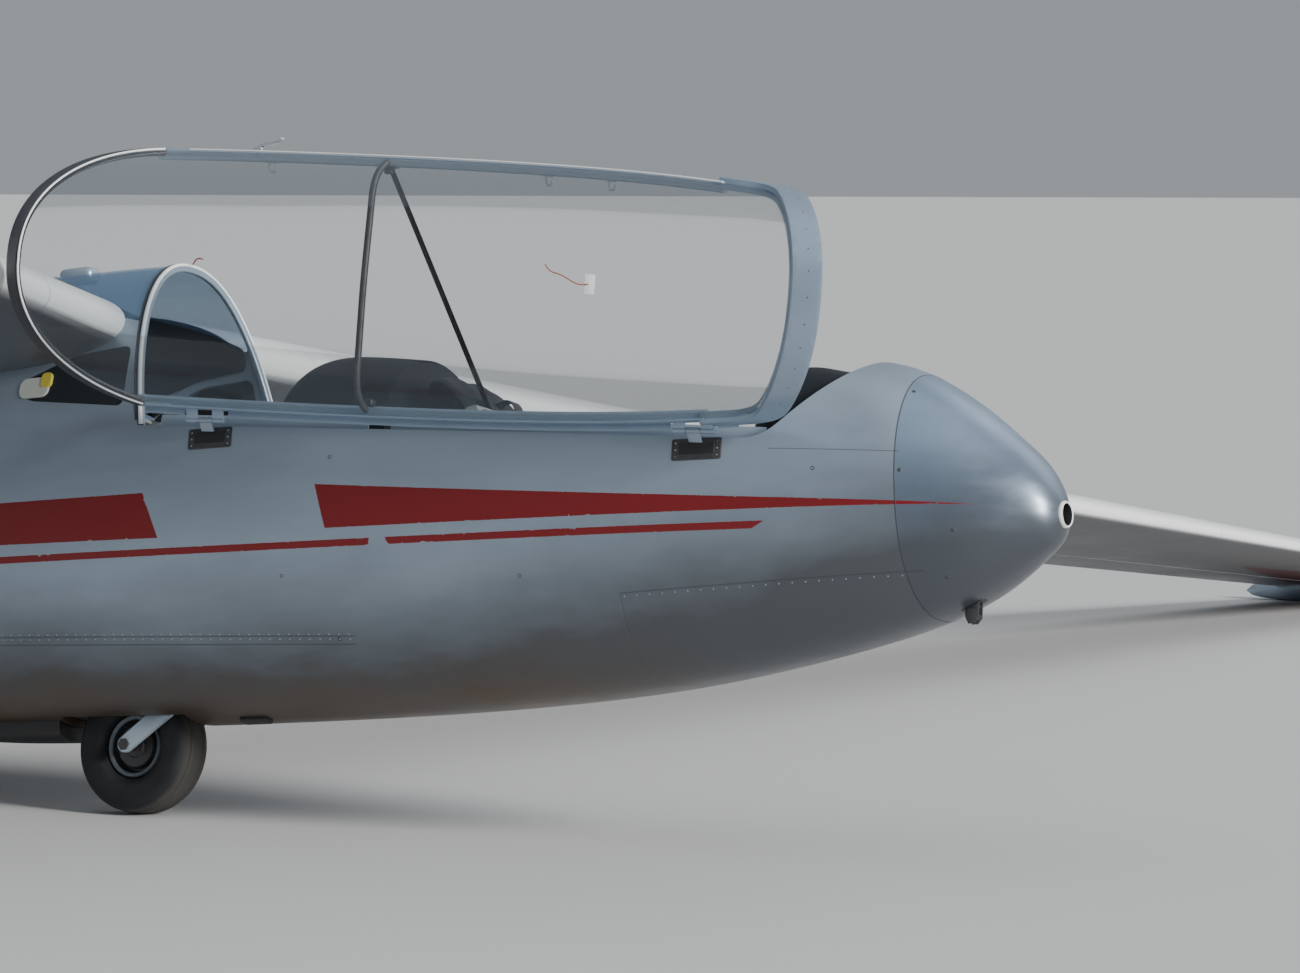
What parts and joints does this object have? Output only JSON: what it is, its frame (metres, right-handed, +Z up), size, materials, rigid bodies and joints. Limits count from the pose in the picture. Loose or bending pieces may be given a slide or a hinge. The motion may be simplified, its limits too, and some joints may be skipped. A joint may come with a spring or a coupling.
{
  "type": "sailplane glider",
  "caption": "Tandem-seat metal sailplane with its side-hinged canopy swung open, forward-swept wings, airbrakes, T-tail and fixed wheels, parked on its port wing tip.",
  "frame": {"origin": "middle of the bounding box, on the ground", "axes": "+X towards the nose, +Y to port along the span, +Z up"},
  "size_m": [8.6144, 15.8966, 3.2663],
  "materials": {
    "silver_paint": "satin",
    "white_paint": "gloss",
    "black_trim": "matte",
    "black_plastic": "matte",
    "seal_rubber": "matte",
    "tyre_rubber": "matte",
    "red_lining": "matte",
    "grey_metal": "satin",
    "pale_metal": "satin",
    "clear_pane": "gloss"
  },
  "bodies": {
    "airframe": {"nose_cone": "silver_paint", "nose_vent_ring": "grey_metal", "tow_hook": "grey_metal", "fuselage_forward": "silver_paint", "side_window_port": "clear_pane", "side_window_starboard": "clear_pane", "rear_top_pane": "clear_pane", "canopy_rear_hoop": "white_paint", "wheel_well": "silver_paint", "cockpit_floor": "grey_metal", "seat_front": "black_trim", "seat_rear": "black_trim", "instrument_panel_front": "black_plastic", "glare_shield_front": "black_trim", "instrument_panel_rear": "black_plastic", "glare_shield_rear": "black_trim", "headrest_shelf": "black_trim", "control_stick_front": "black_plastic", "control_stick_rear": "black_plastic", "side_lining_port": "red_lining", "side_lining_starboard": "red_lining", "canopy_hinge_rear": "black_plastic", "canopy_hinge_front": "black_plastic", "main_gear_fork": "pale_metal", "main_axle": "grey_metal", "belly_fairing": "silver_paint", "fuselage_aft": "silver_paint", "tail_wheel_fork": "grey_metal", "tail_axle": "grey_metal", "tailplane": "white_paint", "fin": "silver_paint", "wing_port": "white_paint", "wing_tip_body_port": "silver_paint", "wing_starboard": "white_paint", "wing_tip_body_starboard": "silver_paint"},
    "canopy": {"canopy_frame": "silver_paint", "canopy_rear_arch": "seal_rubber", "canopy_glass_rear_port": "clear_pane", "canopy_glass_rear_crown": "clear_pane", "canopy_glass_rear_starboard": "clear_pane", "canopy_glass_front_port": "clear_pane", "canopy_glass_front_crown": "clear_pane", "canopy_glass_front_starboard": "clear_pane", "canopy_brace": "grey_metal"},
    "main_wheel": {"main_tyre": "tyre_rubber", "main_wheel_disc": "pale_metal"},
    "tail_wheel": {"tail_tyre": "tyre_rubber", "tail_wheel_disc": "pale_metal"},
    "rudder": {"rudder": "silver_paint"},
    "elevator": {"elevator": "white_paint"},
    "aileron_port": {"aileron_port": "white_paint"},
    "aileron_starboard": {"aileron_starboard": "white_paint"},
    "airbrake_upper_port": {"airbrake_upper_port": "white_paint"},
    "airbrake_lower_port": {"airbrake_lower_port": "white_paint"},
    "airbrake_upper_starboard": {"airbrake_upper_starboard": "white_paint"},
    "airbrake_lower_starboard": {"airbrake_lower_starboard": "white_paint"}
  },
  "joints": [
    {"name": "main_wheel_spin", "type": "hinge", "parent": "airframe", "child": "main_wheel", "pos_m": [1.65567, -0.2848, 0.17438], "axis": [0.0178, 0.9811, -0.1925], "continuous": true},
    {"name": "tail_wheel_spin", "type": "hinge", "parent": "airframe", "child": "tail_wheel", "pos_m": [-3.459, -0.20707, 0.09889], "axis": [0.0178, 0.9811, -0.1925], "continuous": true},
    {"name": "canopy_hinge", "type": "hinge", "parent": "airframe", "child": "canopy", "pos_m": [1.99602, -0.48762, 1.05758], "axis": [0.9999, 0.0141, 0.004], "range_deg": [-94, 0]},
    {"name": "rudder_hinge", "type": "hinge", "parent": "airframe", "child": "rudder", "pos_m": [-3.63512, -0.18812, 0.17921], "axis": [-0.2097, 0.1919, 0.9587], "range_deg": [-30, 30]},
    {"name": "elevator_hinge", "type": "hinge", "parent": "airframe", "child": "elevator", "pos_m": [-3.94107, 0.13516, 1.79841], "axis": [0.0178, 0.9811, -0.1925], "range_deg": [-25, 32]},
    {"name": "aileron_port_hinge", "type": "hinge", "parent": "airframe", "child": "aileron_port", "pos_m": [1.08764, 4.23051, 0.53807], "axis": [0.1504, 0.9813, -0.1204], "range_deg": [-13, 34]},
    {"name": "aileron_starboard_hinge", "type": "hinge", "parent": "airframe", "child": "aileron_starboard", "pos_m": [0.9332, -4.30532, 2.21312], "axis": [0.1153, -0.9586, 0.2603], "range_deg": [-34, 13]},
    {"name": "airbrake_upper_port_slide", "type": "slide", "parent": "airframe", "child": "airbrake_upper_port", "axis": [-0.091, 0.1363, 0.9865], "range_m": [0, 0.055]},
    {"name": "airbrake_lower_port_slide", "type": "slide", "parent": "airframe", "child": "airbrake_lower_port", "axis": [0.091, -0.1363, -0.9865], "range_m": [0, 0.055]},
    {"name": "airbrake_upper_starboard_slide", "type": "slide", "parent": "airframe", "child": "airbrake_upper_starboard", "axis": [-0.0889, 0.2498, 0.9642], "range_m": [0, 0.055]},
    {"name": "airbrake_lower_starboard_slide", "type": "slide", "parent": "airframe", "child": "airbrake_lower_starboard", "axis": [0.0889, -0.2498, -0.9642], "range_m": [0, 0.055]}
  ],
  "couplings": [
    {"joint": "airbrake_lower_port_slide", "follows": "airbrake_upper_port_slide", "ratio": 1},
    {"joint": "airbrake_upper_starboard_slide", "follows": "airbrake_upper_port_slide", "ratio": 1},
    {"joint": "airbrake_lower_starboard_slide", "follows": "airbrake_upper_port_slide", "ratio": 1}
  ]
}
